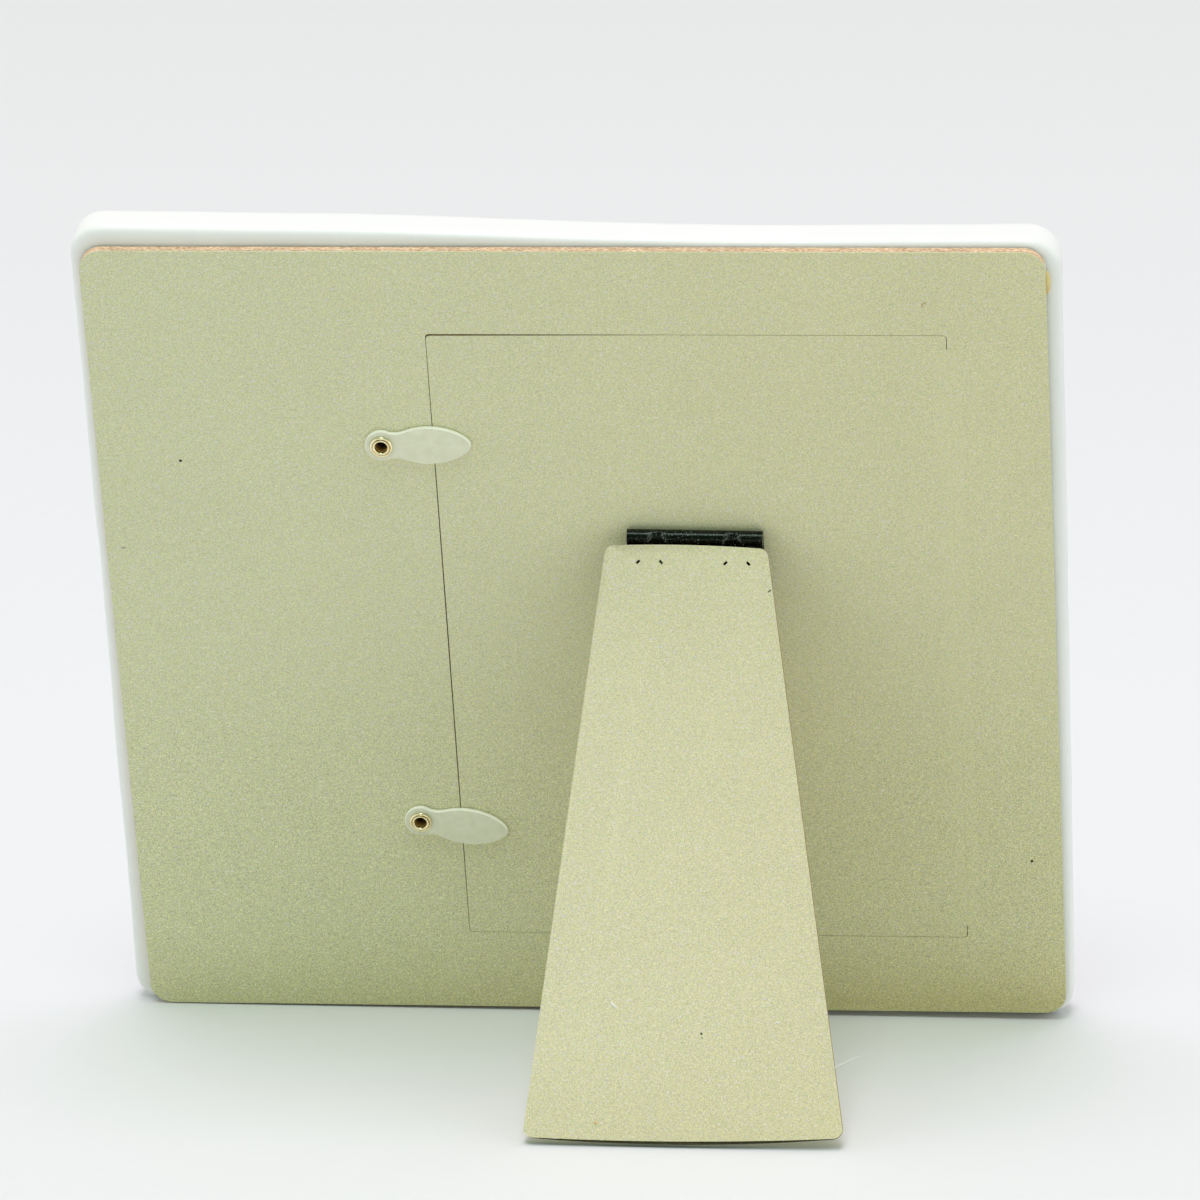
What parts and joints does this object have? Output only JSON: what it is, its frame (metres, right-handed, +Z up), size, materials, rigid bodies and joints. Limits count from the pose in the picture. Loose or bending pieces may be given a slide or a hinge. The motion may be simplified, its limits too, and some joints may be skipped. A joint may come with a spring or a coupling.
{
  "type": "tabletop photo frame",
  "caption": "Soft-edged white photo frame with an off-centre portrait window, a creased back door held by turn tabs, and a hinged strut that it leans on.",
  "frame": {"origin": "middle of the footprint, on the table that the frame stands on", "axes": "+Z up, +X to the right seen from the front, the picture faces -Y and the strut stands towards +Y"},
  "size_m": [0.2184, 0.101, 0.2001],
  "materials": {
    "white_resin": "satin",
    "clear_glass": "polished",
    "print_paper": "satin",
    "grey_card": "matte",
    "yellow_glue": "gloss",
    "hardboard": "matte",
    "velour_paper": "matte",
    "lining_paper": "matte",
    "milky_plastic": "satin",
    "eyelet_brass": "polished",
    "black_enamel": "gloss",
    "steel_wire": "satin"
  },
  "bodies": {
    "frame": {"frame_moulding": "white_resin", "glass_pane": "clear_glass", "photo_print": "print_paper", "filler_card": "grey_card", "glue_line": "yellow_glue", "backing_core": "hardboard", "backing_facing": "velour_paper", "upper_eyelet": "eyelet_brass", "lower_eyelet": "eyelet_brass"},
    "door": {"door_core": "hardboard", "door_facing": "velour_paper", "hinge_door_leaf": "black_enamel", "hinge_pin": "steel_wire"},
    "strut": {"hinge_strut_leaf": "black_enamel", "strut_core": "hardboard", "strut_facing": "velour_paper", "strut_lining": "lining_paper"},
    "upper_tab": {"upper_turn_tab": "milky_plastic"},
    "lower_tab": {"lower_turn_tab": "milky_plastic"}
  },
  "joints": [
    {"name": "door_crease", "type": "hinge", "parent": "frame", "child": "door", "pos_m": [-0.0845, -0.01177, 0.09802], "axis": [0.008, 0.2588, 0.9659], "range_deg": [0, 110]},
    {"name": "strut_swing", "type": "hinge", "parent": "door", "child": "strut", "pos_m": [-0.02707, -0.00271, 0.12448], "axis": [1, 0.0013, 0.0049], "range_deg": [-37, 0]},
    {"name": "upper_tab_turn", "type": "hinge", "parent": "frame", "child": "upper_tab", "pos_m": [0.04181, 0.00133, 0.14632], "axis": [0, 0.9659, -0.2588], "continuous": true},
    {"name": "lower_tab_turn", "type": "hinge", "parent": "frame", "child": "lower_tab", "pos_m": [0.03871, -0.02434, 0.05052], "axis": [0, 0.9659, -0.2588], "continuous": true}
  ]
}
